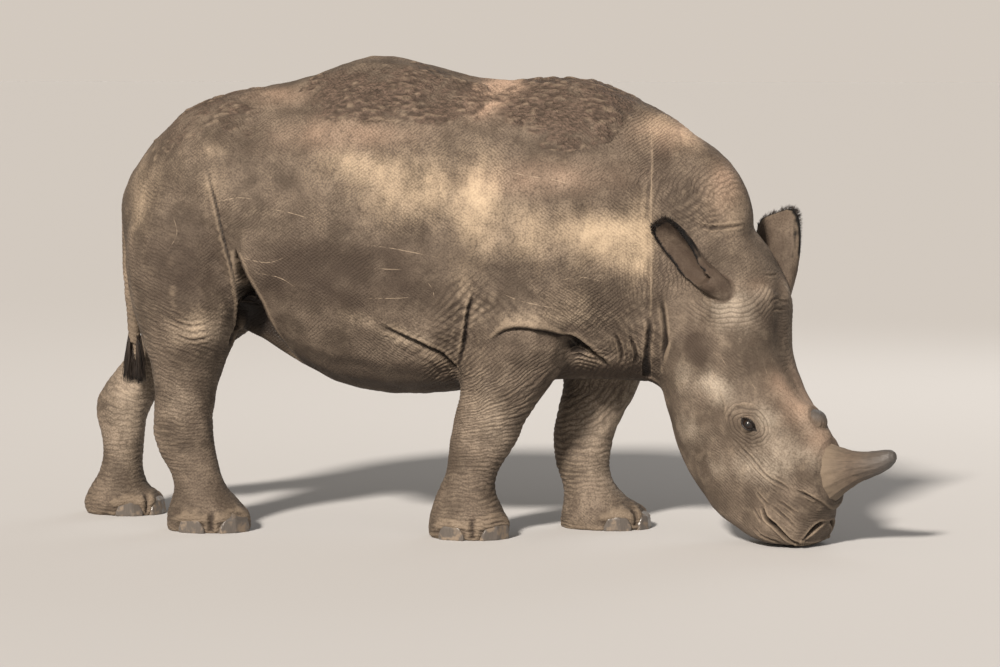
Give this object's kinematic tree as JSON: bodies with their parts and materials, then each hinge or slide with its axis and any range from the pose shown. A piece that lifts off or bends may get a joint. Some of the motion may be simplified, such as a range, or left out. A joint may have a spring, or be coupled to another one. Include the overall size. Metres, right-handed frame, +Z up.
{
  "type": "white rhinoceros",
  "caption": "Life-size still model of a young white rhinoceros standing to graze, its head lowered to the ground and turned to its right.",
  "frame": {"origin": "on the floor under the middle of the animal's bounding box", "axes": "+X from tail to head, +Y to the animal's left, +Z up"},
  "size_m": [2.872, 0.8308, 1.5818],
  "materials": {
    "hide": "dry wrinkled grey-brown hide with dust",
    "horn": "fibrous grey-brown horn",
    "nail": "worn dark grey nail",
    "eye": "wet dark brown eye",
    "hair": "coarse black hair"
  },
  "bodies": {
    "root": {"trunk": "hide", "neck": "hide", "head": "hide", "tail": "hide", "tail_tuft": "hair", "ear_right": "hide", "ear_left": "hide", "horn_front": "horn", "horn_rear": "horn", "eye_right": "eye", "eye_left": "eye", "leg_front_right": "hide", "nail_front_right_right": "nail", "nail_front_right_middle": "nail", "nail_front_right_left": "nail", "leg_front_left": "hide", "nail_front_left_right": "nail", "nail_front_left_middle": "nail", "nail_front_left_left": "nail", "leg_hind_right": "hide", "nail_hind_right_right": "nail", "nail_hind_right_middle": "nail", "nail_hind_right_left": "nail", "leg_hind_left": "hide", "nail_hind_left_right": "nail", "nail_hind_left_middle": "nail", "nail_hind_left_left": "nail"}
  },
  "joints": []
}
